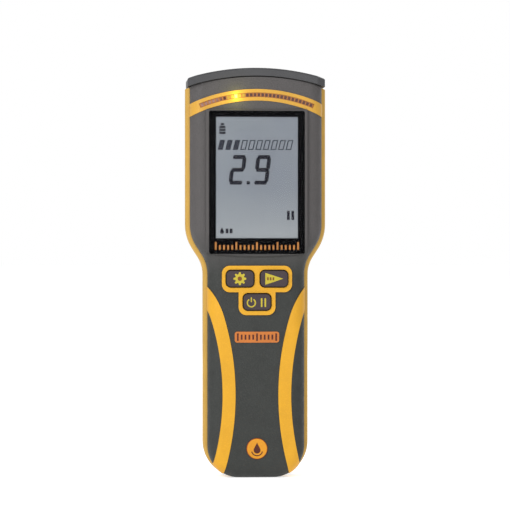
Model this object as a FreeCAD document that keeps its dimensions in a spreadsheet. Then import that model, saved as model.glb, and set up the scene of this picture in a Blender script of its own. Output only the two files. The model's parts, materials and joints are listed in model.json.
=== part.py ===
import FreeCAD, Part
import math
import os
import re

import Sketcher

# Hand-held concrete moisture meter, in millimetres.
#
# Frame: +Z runs up the length of the instrument, the display faces -Y and +X is to the
# right as the display is read. The origin lies on the flat foot, in the plane where the
# front and rear halves of the case meet.

SIZES = (
    # outline of the case over its rubber band, seen from the front
    ("HeadHalf", 35.0),
    ("HandleHalf", 26.25),
    ("ShoulderLevel", 125.5),
    ("ShoulderBend", 22.0),
    ("NeckBend", 16.0),
    ("NeckSlope", 33.0),
    ("FootBend", 17.5),
    ("CrownCentre", 85.0),
    ("CaseCrown", 113.5),
    ("CapCrown", 118.0),
    # shells
    ("BandProud", 2.2),
    ("BandSeat", 1.0),
    ("BandWide", 8.0),
    ("Wall", 2.5),
    ("FaceDepth", 14.0),
    ("FaceCrown", 300.0),
    ("BackDepth", 15.0),
    ("EdgeRound", 7.0),
    # overmoulded trim
    ("TrimProud", 0.3),
    ("TrimSeat", 1.0),
    ("ArchCentre", 114.1),
    ("ArchRadius", 75.5),
    ("ArchWide", 5.7),
    ("ScaleSpread", 43.2),
    ("ScaleCount", 30),
    ("SlotWide", 2.3),
    ("StripeCentreX", 146.6),
    ("StripeCentreZ", 41.0),
    ("StripeRadius", 136.0),
    ("StripeWide", 6.4),
    ("StripeTurn", 16.8),
    ("StripeFoot", 19.0),
    ("StripeEnd", 39.0),
    ("StripeEndTurn", 50.0),
    # display
    ("PodHalf", 25.2),
    ("PodTop", 182.6),
    ("PodSide", 111.2),
    ("PodLip", 109.3),
    ("PodRise", 0.9),
    ("LensHalf", 23.75),
    ("LensLow", 110.9),
    ("LensHigh", 181.7),
    ("LensThick", 1.2),
    ("LensProud", 0.2),
    ("MaskThick", 0.2),
    ("ViewHalf", 20.3),
    ("ViewLow", 118.7),
    ("ViewHigh", 178.7),
    ("GlassHalf", 22.0),
    ("GlassLow", 113.2),
    ("GlassHigh", 180.2),
    ("GlassThick", 1.8),
    ("GuideThick", 2.4),
    ("GuideFront", 9.3),
    ("GuideBack", 8.6),
    ("ToothEnd", 9.2),
    # keys
    ("KeySpread", 8.4),
    ("KeyRow", 98.7),
    ("PowerRow", 87.2),
    ("KeyLong", 14.0),
    ("KeyTall", 8.5),
    ("KeyRound", 2.5),
    ("KeyProud", 0.9),
    ("KeyGap", 0.25),
    ("SkirtFront", 10.9),
    ("SkirtBack", 10.2),
    ("StemEnd", 9.5),
    ("MatFront", 9.45),
    ("MatBack", 8.95),
    ("PadProud", 0.8),
    # circuit board, by the side that faces the display
    ("BoardFront", 7.6),
    ("BoardThick", 1.6),
    # moisture sensor
    ("DomeLevel", 150.0),
    ("DomeRadius", 23.0),
    ("DomeRise", 16.5),
    ("DomeWall", 2.0),
    # battery bay and its door
    ("CellRadius", 7.1),
    ("CellLong", 49.3),
    ("CellSpread", 7.6),
    ("CellAxis", 4.6),
    ("CellFoot", 32.0),
    ("BayHalf", 16.0),
    ("BayFloor", 3.0),
    ("BayLow", 26.5),
    ("BayHigh", 84.0),
    ("BayWall", 1.5),
    ("DoorHalf", 17.2),
    ("DoorTop", 93.0),
    ("DoorThick", 2.2),
    ("DoorGap", 0.35),
    ("LedgeDepth", 12.0),
    ("TrayDepth", 9.5),
    ("HingeLevel", 27.5),
    ("HingeDepth", 12.0),
    ("HingeRound", 3.0),
    ("HingePin", 1.0),
    ("LockLevel", 88.0),
    # probe port under the cap
    ("PortAxis", 6.4),
    ("PortBore", 3.5),
    ("PortRound", 5.2),
    ("PortDeep", 9.0),
    ("PegSpread", 22.0),
    ("PegRound", 1.5),
    ("CapLip", 0.4),
    ("CapHalf", 34.1),
    ("CapFacet", 4),
    ("GasketThick", 0.6),
    # finger ribs on the back
    ("RibCount", 5),
    ("RibLevel", 101.5),
    ("RibPitch", 4.0),
    ("RibHalf", 10.5),
    ("RibProud", 0.7),
    # screws
    ("ScrewRound", 1.4),
    ("ScrewHead", 2.8),
    ("BossRound", 2.5),
    ("HeadSeat", 12.9),
)

# Places (X, Z) of the six screws that clamp the case, and of the four that hold the board.
CASE_SCREWS = ((-26.6, 171.0), (26.6, 171.0), (-18.9, 100.5), (18.9, 100.5), (-12.0, 13.0), (12.0, 13.0))
BOARD_SCREWS = ((-26.0, 179.0), (26.0, 179.0), (-12.2, 108.0), (12.2, 108.0))

DOC = FreeCAD.newDocument("moisture_meter")
SHEET = DOC.addObject("Spreadsheet::Sheet", "Sizes")
for row, (alias, number) in enumerate(SIZES, 1):
    SHEET.set(f"A{row}", alias)
    SHEET.set(f"B{row}", str(number))
    SHEET.setAlias(f"B{row}", alias)
DOC.recompute()

KEPT = {}


# ---------------------------------------------------------------- expressions

def linked(text):
    """Expression in which each size's name points at its cell in the sheet."""
    return re.sub(r"\b[A-Z][A-Za-z]+", lambda name: "Sizes." + name.group(), str(text))


def value(text):
    """Number that an expression of the sheet's sizes gives."""
    return float(SHEET.evalExpression(linked(text)))


def bind(item, prop, text):
    """Set a property and keep it bound to the sheet."""
    item.setExpression(prop, linked(text))


# ------------------------------------------------------------------- sketches

def arc_between(start, end, bend):
    """Arc of a circle from start to end; a positive bend turns left, a negative one right."""
    chord = end - start
    left = FreeCAD.Vector(-chord.y, chord.x, 0) / chord.Length
    rise = math.sqrt(max(bend * bend - chord.Length ** 2 / 4, 0))
    centre = (start + end) * 0.5 + left * math.copysign(rise, bend)
    first, last = (start, end) if bend > 0 else (end, start)
    begin = math.atan2(first.y - centre.y, first.x - centre.x)
    finish = math.atan2(last.y - centre.y, last.x - centre.x)
    if finish < begin:
        finish += 2 * math.pi
    return Part.ArcOfCircle(Part.Circle(centre, FreeCAD.Vector(0, 0, 1), abs(bend)), begin, finish)


def dimension(sketch, kind, geometry, point, text):
    """Add one bound dimension to a sketch."""
    number = abs(value(text)) if kind == "Radius" else value(text)
    where = (geometry,) if kind == "Radius" else (geometry, point)
    index = sketch.addConstraint(Sketcher.Constraint(kind, *where, number))
    bind(sketch, f"Constraints[{index}]", f"abs({text})" if kind == "Radius" else text)


def draw(sketch, corners):
    """Closed outline. Each corner is (x, y), or (x, y, bend) where an arc runs to the next one."""
    points = [FreeCAD.Vector(value(corner[0]), value(corner[1]), 0) for corner in corners]
    first_point = []
    for index, corner in enumerate(corners):
        start = points[index]
        end = points[(index + 1) % len(corners)]
        bend = value(corner[2]) if len(corner) == 3 else None
        edge = arc_between(start, end, bend) if bend else Part.LineSegment(start, end)
        sketch.addGeometry(edge, False)
        first_point.append(2 if bend and bend < 0 else 1)
    for index, corner in enumerate(corners):
        before = (index - 1) % len(corners)
        here = first_point[index]
        sketch.addConstraint(Sketcher.Constraint("Coincident", before, 3 - first_point[before], index, here))
        dimension(sketch, "DistanceX", index, here, corner[0])
        dimension(sketch, "DistanceY", index, here, corner[1])
        if len(corner) == 3:
            dimension(sketch, "Radius", index, here, corner[2])


def draw_circle(sketch, x, y, radius):
    """Circle with its centre and radius bound."""
    centre = FreeCAD.Vector(value(x), value(y), 0)
    index = sketch.addGeometry(Part.Circle(centre, FreeCAD.Vector(0, 0, 1), value(radius)), False)
    dimension(sketch, "DistanceX", index, 3, x)
    dimension(sketch, "DistanceY", index, 3, y)
    dimension(sketch, "Radius", index, 0, radius)


def oblong(x, y, half_x, half_y, bend):
    """Corners of a rectangle with rounded corners about (x, y)."""
    left, right = f"({x}) - ({half_x})", f"({x}) + ({half_x})"
    low, high = f"({y}) - ({half_y})", f"({y}) + ({half_y})"
    return (
        (f"{left} + ({bend})", low),
        (f"{right} - ({bend})", low, bend),
        (right, f"{low} + ({bend})"),
        (right, f"{high} - ({bend})", bend),
        (f"{right} - ({bend})", high),
        (f"{left} + ({bend})", high, bend),
        (left, f"{high} - ({bend})"),
        (left, f"{low} + ({bend})", bend),
    )


def sector(radius_in, radius_out, half_turn):
    """Corners of an arched strip about the sketch's origin, its middle straight up."""
    out_x, out_y = f"({radius_out}) * sin({half_turn})", f"({radius_out}) * cos({half_turn})"
    in_x, in_y = f"({radius_in}) * sin({half_turn})", f"({radius_in}) * cos({half_turn})"
    return (
        (out_x, out_y, radius_out),
        (f"-({out_x})", out_y),
        (f"-({in_x})", in_y, f"-({radius_in})"),
        (in_x, in_y),
    )


def mirrored(right_side):
    """Whole outline from its right side, listed upwards; a bend belongs to the run that follows."""
    left_side = []
    for index in range(len(right_side) - 1, -1, -1):
        x, y = right_side[index][:2]
        bend = right_side[index - 1][2:] if index else ()
        left_side.append((f"-({x})", y) + tuple(bend))
    return tuple(right_side) + tuple(left_side)


def case_outline(side, foot, top):
    """Outline of the case drawn in by side, its foot raised by foot and its crown lowered by top."""
    foot_bend = f"FootBend - ({side})"
    neck_bend = f"NeckBend + ({side})"
    shoulder_bend = f"ShoulderBend - ({side})"
    crown = f"(CaseCrown - ({top}))"
    wide = f"(HeadHalf - ({side}))"
    neck_level = ("(ShoulderLevel - (ShoulderBend + NeckBend - (HandleHalf + NeckBend - HeadHalf"
                  " + ShoulderBend) * cos(NeckSlope)) / sin(NeckSlope))")
    return mirrored((
        ("HandleHalf - FootBend", foot, foot_bend),
        (f"HandleHalf - ({side})", f"({foot}) + {foot_bend}"),
        (f"HandleHalf - ({side})", neck_level, f"-({neck_bend})"),
        (f"HandleHalf + NeckBend - ({neck_bend}) * cos(NeckSlope)",
         f"{neck_level} + ({neck_bend}) * sin(NeckSlope)"),
        (f"HeadHalf - ShoulderBend + ({shoulder_bend}) * cos(NeckSlope)",
         f"ShoulderLevel - ({shoulder_bend}) * sin(NeckSlope)", shoulder_bend),
        (wide, "ShoulderLevel"),
        (wide, f"CrownCentre + sqrt({crown}^2 - {wide}^2)", crown),
    ))


def stripe_outline(side):
    """Corners of one grip stripe: two arcs inside and two outside, all about shared centres."""
    inner, outer = "StripeRadius", "(StripeRadius - StripeWide)"
    end_in, end_out = "StripeEnd", "(StripeEnd - StripeWide)"

    def on_long(radius, turn):
        return (f"{side} * (StripeCentreX - {radius} * cos({turn}))",
                f"StripeCentreZ + {radius} * sin({turn})")

    def on_end(radius, turn):
        shift = "(StripeRadius - StripeEnd)"
        return (f"{side} * (StripeCentreX - {shift} * cos(StripeTurn) - {radius} * cos({turn}))",
                f"StripeCentreZ + {shift} * sin(StripeTurn) + {radius} * sin({turn})")

    return (
        on_long(inner, "-StripeFoot") + (f"{-side} * {inner}",),
        on_long(inner, "StripeTurn") + (f"{-side} * {end_in}",),
        on_end(end_in, "StripeEndTurn"),
        on_end(end_out, "StripeEndTurn") + (f"{side} * {end_out}",),
        on_long(outer, "StripeTurn") + (f"{side} * {outer}",),
        on_long(outer, "-StripeFoot"),
    )


# ---------------------------------------------------------------- solid makers

def origin_plane(body, role):
    """One of a body's own origin planes."""
    return next(plane for plane in body.Origin.OriginFeatures if plane.Role == role)


def add_sketch(body, role, lift="0", shift=("0", "0")):
    """Sketch on a body's origin plane, lifted along its normal and shifted in the plane."""
    sketch = body.newObject("Sketcher::SketchObject", body.Name + "_sketch")
    sketch.AttachmentSupport = (origin_plane(body, role), [""])
    sketch.MapMode = "FlatFace"
    for axis, text in zip("xyz", (shift[0], shift[1], lift)):
        bind(sketch, f"AttachmentOffset.Base.{axis}", text)
    return sketch


def add_feature(body, kind, sketch, length, reverse=False):
    """Pad or Pocket a sketch by a bound length."""
    feature = body.newObject(f"PartDesign::{kind}", f"{body.Name}_{kind.lower()}")
    feature.Profile = sketch
    feature.Reversed = reverse
    bind(feature, "Length", length)
    sketch.Visibility = False
    return feature


def slab(name, corners, front, back, shift=("0", "0")):
    """Body with one pad between two depths, Y = front and Y = back, of an outline in X and Z."""
    body = DOC.addObject("PartDesign::Body", name)
    sketch = add_sketch(body, "XZ_Plane", f"-({back})", shift)
    draw(sketch, corners)
    add_feature(body, "Pad", sketch, f"({back}) - ({front})")
    return body


def column(name, corners, low, high):
    """Body with one pad between two levels, Z = low and Z = high, of an outline in X and Y."""
    body = DOC.addObject("PartDesign::Body", name)
    sketch = add_sketch(body, "XY_Plane", low)
    draw(sketch, corners)
    add_feature(body, "Pad", sketch, f"({high}) - ({low})")
    return body


def turned(name, corners, axis_x="0", axis_z="0"):
    """Body revolved about a line along Y; the outline is drawn as (distance from it, Y)."""
    body = DOC.addObject("PartDesign::Body", name)
    sketch = add_sketch(body, "XY_Plane")
    draw(sketch, corners)
    feature = body.newObject("PartDesign::Revolution", name + "_revolution")
    feature.Profile = sketch
    feature.ReferenceAxis = (sketch, ["V_Axis"])
    feature.Angle = 360
    sketch.Visibility = False
    bind(body, "Placement.Base.x", axis_x)
    bind(body, "Placement.Base.z", axis_z)
    return body


def round_edges(body, radius, wanted, kind="Fillet"):
    """Round, or chamfer, the edges of a body's last feature that wanted() picks by their box."""
    DOC.recompute()
    base = body.Tip
    names = [f"Edge{index}" for index, edge in enumerate(base.Shape.Edges, 1) if wanted(edge.BoundBox)]
    feature = body.newObject(f"PartDesign::{kind}", f"{body.Name}_{kind.lower()}")
    feature.Base = (base, names)
    bind(feature, "Radius" if kind == "Fillet" else "Size", radius)
    return body


def box(name, low, high):
    """Block between two corners, each a triple of expressions."""
    item = DOC.addObject("Part::Box", name)
    for axis, prop, start, end in zip("xyz", ("Length", "Width", "Height"), low, high):
        bind(item, prop, f"({end}) - ({start})")
        bind(item, f"Placement.Base.{axis}", start)
    return item


TILT = {
    "x": FreeCAD.Rotation(FreeCAD.Vector(0, 1, 0), 90),
    "y": FreeCAD.Rotation(FreeCAD.Vector(1, 0, 0), -90),
    "z": FreeCAD.Rotation(),
}


def rod(name, axis, start, radius, length):
    """Cylinder from start along +X, +Y or +Z."""
    item = DOC.addObject("Part::Cylinder", name)
    item.Placement = FreeCAD.Placement(FreeCAD.Vector(), TILT[axis])
    bind(item, "Radius", radius)
    bind(item, "Height", length)
    for letter, text in zip("xyz", start):
        bind(item, f"Placement.Base.{letter}", text)
    return item


def cut(name, base, *tools):
    """Base less every tool."""
    step = DOC.addObject("Part::Cut", name)
    step.Base = base
    step.Tool = tools[0] if len(tools) == 1 else fuse(name + "_tools", *tools)
    return step


def fuse(name, *items):
    """Union of items that touch or overlap."""
    union = DOC.addObject("Part::MultiFuse", name)
    union.Shapes = list(items)
    return union


def common(name, first, second):
    """What two items share."""
    shared = DOC.addObject("Part::Common", name)
    shared.Base = first
    shared.Tool = second
    return shared


def group(name, items):
    """Separate solids that share one node."""
    compound = DOC.addObject("Part::Compound", name)
    compound.Links = list(items)
    return compound


def keep(item, node=None):
    """Mark an item as a finished sub-part and give it its name."""
    item.Label = node or item.Name
    KEPT[item.Label] = item
    return item


def leaf(name, x, low, high, thick, turn, wide):
    """Contact leaf bowed upwards between two levels under or over a cell, wide along Y."""
    radius = f"((({high}) - ({low}) - {thick} * cos({turn})) / (1 - cos({turn})))"
    foot = f"(({radius} - {thick}) * cos({turn}))"
    return slab(name, sector(radius, f"({radius} - {thick})", turn), f"CellAxis - {wide} / 2",
                f"CellAxis + {wide} / 2", (x, f"{low} - {foot}"))


# ----------------------------------------------------------------------- case

def half_case(name, inset, front):
    """One half of the case as a solid, every face drawn in by inset and its outer edges rounded."""
    depth = "FaceDepth" if front else "BackDepth"
    body = DOC.addObject("PartDesign::Body", name)
    sketch = add_sketch(body, "XZ_Plane")
    draw(sketch, case_outline(f"BandProud + ({inset})", inset, inset))
    add_feature(body, "Pad", sketch, f"{depth} - ({inset})", reverse=not front)
    if front:
        crown_face(body, inset)
    rim = value(depth) - value(inset) - 4
    top = value("ShoulderLevel") + 10

    def on_rim(bounds):
        outside = -bounds.YMax if front else bounds.YMin
        return outside > rim and bounds.ZMin < top

    return round_edges(body, f"EdgeRound - ({inset})", on_rim)


def crown_face(body, inset):
    """Cut the front face to a very shallow cylinder about a line along Z."""
    bend = f"(FaceCrown - ({inset}))"
    nose = f"(-(FaceDepth - ({inset})))"
    edge = f"{nose} + {bend} - sqrt({bend}^2 - (HeadHalf + 4)^2)"
    sketch = add_sketch(body, "XY_Plane")
    draw(sketch, (
        ("-(HeadHalf + 4)", edge, bend),
        ("HeadHalf + 4", edge),
        ("HeadHalf + 4", f"{nose} - 6"),
        ("-(HeadHalf + 4)", f"{nose} - 6"),
    ))
    pocket = add_feature(body, "Pocket", sketch, "500")
    pocket.SideType = "Symmetric"
    return body


def make_skins():
    """Solids of the front half at the levels that the trim, the shell and its inside need."""
    return {
        "proud": half_case("front_trim_skin", "-TrimProud", True),
        "pad": half_case("front_pad_skin", "-PadProud", True),
        "face": half_case("front_face_skin", "0", True),
        "seat": half_case("front_seat_skin", "TrimSeat", True),
        "inside": half_case("front_inside_skin", "Wall", True),
    }


def inlay(name, prism, outer, inner):
    """Trim that follows the front face: a prism kept between two skins."""
    return keep(cut(name, common(name + "_outer", prism, outer), inner))


def make_trim(skins):
    """Arch, grip stripes, keypad surround, nameplate and badge, each let into the front face."""
    front, back = "-(FaceDepth + 3)", "-(BandWide / 2)"
    arch_in, arch_out = "ArchRadius - ArchWide / 2", "ArchRadius + ArchWide / 2"
    arch = slab("arch_prism", sector(arch_in, arch_out, "36"), front, back, ("0", "ArchCentre"))
    slot = slab("slot_prism", sector("ArchRadius - SlotWide / 2", "ArchRadius + SlotWide / 2",
                                     "ScaleSpread / 2 + 0.4"), front, back, ("0", "ArchCentre"))
    arch_strip = cut("arch_strip", arch, slot)
    trim = [inlay("arch_trim", arch_strip, skins["proud"], skins["seat"])]
    for side, name in ((-1, "left_grip_stripe"), (1, "right_grip_stripe")):
        stripe = slab(name + "_prism", stripe_outline(side), front, back)
        trim.append(inlay(name, stripe, skins["proud"], skins["seat"]))
    trim.append(make_keypad_surround(skins))
    plate = slab("nameplate_prism", oblong("0", "69.8", "11", "2.7", "1.2"), front, back)
    trim.append(inlay("nameplate", plate, skins["proud"], skins["seat"]))
    badge = DOC.addObject("PartDesign::Body", "badge_prism")
    sketch = add_sketch(badge, "XZ_Plane", "FaceDepth - TrimSeat")
    draw_circle(sketch, "0", "14.7", "5.2")
    add_feature(badge, "Pad", sketch, "TrimSeat + 0.6")
    round_edges(badge, "0.5", lambda bounds: bounds.YMax < -value("FaceDepth") - 0.3)
    trim.append(keep(badge, "badge"))
    return trim


def make_keypad_surround(skins):
    """Raised T-shaped pad round the three keys."""
    front, back = "-(FaceDepth + 3)", "-(BandWide / 2)"
    wide = slab("surround_row", oblong("0", "98.55", "17.35", "6.55", "3.9"), front, back)
    tall = slab("surround_stem", oblong("0", "91", "9.1", "10.3", "3.9"), front, back)
    block = fuse("surround_block", wide, tall)
    holes = [slab(f"surround_hole_{index}", key_outline(x, level, "KeyGap"), front, back)
             for index, (x, level) in enumerate(key_places())]
    return inlay("keypad_surround", cut("surround_frame", block, *holes), skins["pad"], skins["seat"])


def key_places():
    """Centre of each key: settings, reference and power."""
    return ("-KeySpread", "KeyRow"), ("KeySpread", "KeyRow"), ("0", "PowerRow")


def key_outline(x, level, margin):
    """Rounded outline of a key, larger by a margin all round."""
    return oblong(x, level, f"KeyLong / 2 + {margin}", f"KeyTall / 2 + {margin}", f"KeyRound + {margin}")


def make_band():
    """Rubber band that wraps the joint of the two shells and is level with them at the foot."""
    body = slab("band_outside", case_outline("0", "0", "0"), "-(BandWide / 2)", "BandWide / 2")
    half = value("BandWide / 2") - 0.01
    top = value("ShoulderLevel") + 10
    round_edges(body, "BandProud",
                lambda bounds: bounds.YLength < 0.01 and abs(bounds.YMin) > half and bounds.ZMin < top)
    inside = slab("band_inside", case_outline("BandProud + BandSeat", "BandSeat", "-9"),
                  "-(BandWide / 2 + 1)", "BandWide / 2 + 1")
    return keep(cut("perimeter_band", body, inside))


def band_seat(name, front, back):
    """Ring of the shells' edge that makes room for the band."""
    ring = slab(name + "_ring", case_outline("-1", "-1", "-9"), front, back)
    core = slab(name + "_core", case_outline("BandProud + BandSeat", "BandSeat", "-9.5"), front, back)
    return cut(name, ring, core)


def make_front_shell(skins, trim, band):
    """Front half: face, display pod, seats, openings and screw posts."""
    pod = round_edges(
        slab("pod", (
            ("-PodHalf", "PodSide", "(PodHalf^2 + (PodSide - PodLip)^2) / (2 * (PodSide - PodLip))"),
            ("PodHalf", "PodSide"),
            ("PodHalf", "PodTop"),
            ("-PodHalf", "PodTop"),
        ), "-(FaceDepth + PodRise)", "-(FaceDepth - Wall)"),
        "0.6", lambda bounds: bounds.YMax < -value("FaceDepth + PodRise") + 0.01, "Chamfer")
    arch_room = slab("arch_room", sector("ArchRadius - ArchWide / 2", "ArchRadius + ArchWide / 2", "36"),
                     "-(FaceDepth + 3)", "-(BandWide / 2)", ("0", "ArchCentre"))
    pod = cut("pod_below_arch", pod, arch_room)
    posts = [rod(f"front_post_{index}", "y", (x, "-(FaceDepth - 1)", z), "BossRound", "FaceDepth - 1.2")
             for index, (x, z) in enumerate(CASE_SCREWS)]
    studs = [rod(f"board_stud_{index}", "y", (x, "-(FaceDepth - 1)", z), "2", "FaceDepth - 1 - BoardFront")
             for index, (x, z) in enumerate(BOARD_SCREWS)]
    shell = cut("front_hollow", skins["face"], skins["inside"])
    solid = fuse("front_solid", shell, common("pod_and_posts", fuse("front_adds", pod, *posts, *studs),
                                              front_envelope(skins)))
    tools = list(trim) + [band_seat("front_band_seat", "-(BandWide / 2)", "1")]
    tools += display_openings() + key_openings() + [scale_opening(), seal_ring("front_seal_groove", "0.05")]
    for index, (x, z) in enumerate(CASE_SCREWS):
        tools.append(rod(f"front_pilot_{index}", "y", (x, "-9", z), "ScrewRound", "10"))
    for index, (x, z) in enumerate(BOARD_SCREWS):
        tools.append(rod(f"stud_pilot_{index}", "y", (x, "-(BoardFront + 3)", z), "0.8", "4"))
    return keep(cut("front_shell", solid, *tools))


def front_envelope(skins):
    """Room that the front shell's added features may fill."""
    pod_room = box("pod_room", ("-PodHalf", "-(FaceDepth + 2)", "PodLip - 1"),
                   ("PodHalf", "-(FaceDepth - Wall)", "PodTop"))
    return fuse("front_envelope", skins["face"], pod_room)


def display_openings():
    """Seat for the lens and the opening in which the display's glass stands."""
    seat = slab("lens_seat", oblong("0", "(LensLow + LensHigh) / 2", "LensHalf + 0.05",
                                    "(LensHigh - LensLow) / 2 + 0.05", "1.05"),
                "-(FaceDepth + 4)", "-(FaceDepth + PodRise + LensProud - LensThick - MaskThick)")
    opening = box("glass_opening", ("-(GlassHalf + 0.3)", "-(FaceDepth + 4)", "GlassLow - 0.3"),
                  ("GlassHalf + 0.3", "-(FaceDepth - Wall - 1)", "GlassHigh + 0.3"))
    return [seat, opening]


def key_openings():
    """Openings in the face through which the keys move."""
    return [slab(f"key_opening_{index}", key_outline(x, level, "KeyGap"), "-(FaceDepth + 4)",
                 "-(FaceDepth - Wall - 1)") for index, (x, level) in enumerate(key_places())]


def scale_opening():
    """Arched slot for the scale's dark strip."""
    return slab("scale_opening", sector("ArchRadius - SlotWide / 2", "ArchRadius + SlotWide / 2",
                                        "ScaleSpread / 2 + 0.4"),
                "-(FaceDepth + 4)", "-(FaceDepth - Wall - 3)", ("0", "ArchCentre"))


def make_rear_shell():
    """Rear half: back, battery bay, screw posts, sensor and port openings, hinge lugs."""
    outside = half_case("back_face_skin", "0", False)
    inside = half_case("back_inside_skin", "Wall", False)
    posts = [rod(f"rear_post_{index}", "y", (x, "0", z), "BossRound + 0.4", "BackDepth - 0.2")
             for index, (x, z) in enumerate(CASE_SCREWS)]
    bay = box("bay_walls", ("-(BayHalf + BayWall)", "-(BayFloor + BayWall)", "BayLow - BayWall"),
              ("BayHalf + BayWall", "LedgeDepth", "BayHigh + BayWall"))
    latch_tray = box("latch_tray", ("-(BayHalf + BayWall)", "TrayDepth - BayWall", "BayHigh"),
                     ("BayHalf + BayWall", "LedgeDepth", "DoorTop + DoorGap + BayWall"))
    ledge = box("door_ledge", ("-(DoorHalf + 2.2)", "LedgeDepth - 1.5", "HingeLevel - 5"),
                ("DoorHalf + 2.2", "BackDepth - 1", "DoorTop + DoorGap + BayWall"))
    trough = box("hinge_trough", ("-(DoorHalf + 4.6)", "HingeDepth - 4.8", "HingeLevel - 5"),
                 ("DoorHalf + 4.6", "BackDepth - 1", "HingeLevel + 3.4"))
    latch = rod("latch_post", "y", ("0", "3.5", "LockLevel"), "3.7", "TrayDepth - 3.5")
    port = rod("port_post", "z", ("0", "PortAxis", "CaseCrown + CrownCentre - 13"), "PortRound + 1.5", "14")
    hollow = cut("back_hollow", outside, inside)
    adds = fuse("back_adds", bay, latch_tray, ledge, trough, latch, port, *posts)
    collar = turned("dome_collar", (
        ("DomeRadius + 0.5", "BackDepth - 1"), ("DomeRadius + 3.6", "BackDepth - 1"),
        ("DomeRadius + 3.6", "BackDepth + 0.2", "1.2"), ("DomeRadius + 2.4", "BackDepth + 1.4"),
        ("DomeRadius + 1.1", "BackDepth + 1.4"), ("DomeRadius + 0.5", "BackDepth + 0.8"),
    ), "0", "DomeLevel")
    solid = fuse("back_solid", hollow, common("back_adds_inside", adds, back_room(outside)), collar,
                 *back_ribs())
    return keep(cut("rear_shell", solid, *rear_tools()))


def back_ribs():
    """Rounded finger ribs across the back, between the battery door and the sensor."""
    ribs = []
    for index in range(int(value("RibCount"))):
        level = f"RibLevel + {index} * RibPitch"
        rib = slab(f"back_rib_{index}", oblong("0", level, "RibHalf", "1", "0.95"),
                   "BackDepth - 1", "BackDepth + RibProud")
        high = value("BackDepth + RibProud") - 0.01
        ribs.append(round_edges(rib, "0.5", lambda bounds: bounds.YMin > high))
    return ribs


def back_room(outside):
    """Room that the rear shell's added features may fill; the bay reaches past the joint plane."""
    bay = box("bay_room", ("-(BayHalf + BayWall)", "-(BayFloor + BayWall)", "BayLow - BayWall"),
              ("BayHalf + BayWall", "1", "BayHigh + BayWall"))
    return fuse("back_room", outside, bay)


def rear_tools():
    """Everything taken out of the rear shell."""
    bay = box("bay_inside", ("-BayHalf", "-BayFloor", "BayLow"), ("BayHalf", "BackDepth + 2", "BayHigh"))
    tray = box("tray_inside", ("-BayHalf", "TrayDepth", "BayHigh + BayWall"),
               ("BayHalf", "BackDepth + 2", "DoorTop + DoorGap"))
    lip = box("bay_lip", ("-BayHalf", "LedgeDepth - 1.5", "BayLow"),
              ("BayHalf", "BackDepth + 2", "DoorTop + DoorGap"))
    doorway = box("doorway", ("-(DoorHalf + DoorGap)", "LedgeDepth", "HingeLevel"),
                  ("DoorHalf + DoorGap", "BackDepth + 2", "DoorTop + DoorGap"))
    knuckle = rod("knuckle_room", "x", ("-(DoorHalf + DoorGap)", "HingeDepth", "HingeLevel"),
                  "HingeRound + DoorGap", "2 * (DoorHalf + DoorGap)")
    notch = box("knuckle_notch", ("-(DoorHalf + DoorGap)", "HingeDepth", "HingeLevel - HingeRound - DoorGap"),
                ("DoorHalf + DoorGap", "BackDepth + 2", "HingeLevel"))
    pin = rod("pin_holes", "x", ("-(DoorHalf + 3.6)", "HingeDepth", "HingeLevel"), "HingePin",
              "2 * (DoorHalf + 3.6)")
    tools = [bay, tray, lip, doorway, knuckle, notch, pin]
    tools.append(rod("insert_hole", "y", ("0", "4.4", "LockLevel"), "2.9", "8"))
    tools.append(rod("dome_hole", "y", ("0", "BackDepth - Wall - 1", "DomeLevel"), "DomeRadius + 0.15",
                     "Wall + 3"))
    tools.append(rod("port_hole", "z", ("0", "PortAxis", "CaseCrown + CrownCentre - 20"), "PortRound", "30"))
    tools += [rod(f"peg_hole_{side}", "z", (f"{side} * PegSpread", "PortAxis", "CaseCrown + CrownCentre - 12"),
                  "PegRound + 0.25", "20") for side in (-1, 1)]
    tools += [box(f"tab_slot_{side}", (f"{side} * CellSpread - 1.2", "-(BayFloor + BayWall + 0.5)",
                                       "BayHigh - 0.85"),
                  (f"{side} * CellSpread + 1.2", "-(BayFloor - 0.5)", "BayHigh")) for side in (-1, 1)]
    for index, (x, z) in enumerate(CASE_SCREWS):
        tools.append(rod(f"screw_way_{index}", "y", (x, "-1", z), "ScrewRound + 0.3", "BackDepth + 2"))
        tools.append(rod(f"screw_seat_{index}", "y", (x, "HeadSeat", z), "ScrewHead + 0.2", "5"))
    tools += [band_seat("rear_band_seat", "-1", "BandWide / 2"), seal_ring("rear_seal_groove", "0.05")]
    return tools


def seal_ring(name, margin):
    """Ring in the joint of the shells, larger by a margin on every side."""
    ring = slab(name + "_ring", case_outline(f"BandProud + 1.4 - {margin}", f"1.4 - {margin}",
                                             f"0.9 - {margin}"), f"-(0.7 + {margin})", f"0.7 + {margin}")
    core = slab(name + "_core", case_outline(f"BandProud + 2.1 + {margin}", f"2.1 + {margin}",
                                             f"1.6 + {margin}"), "-2", "2")
    return cut(name, ring, core)


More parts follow.
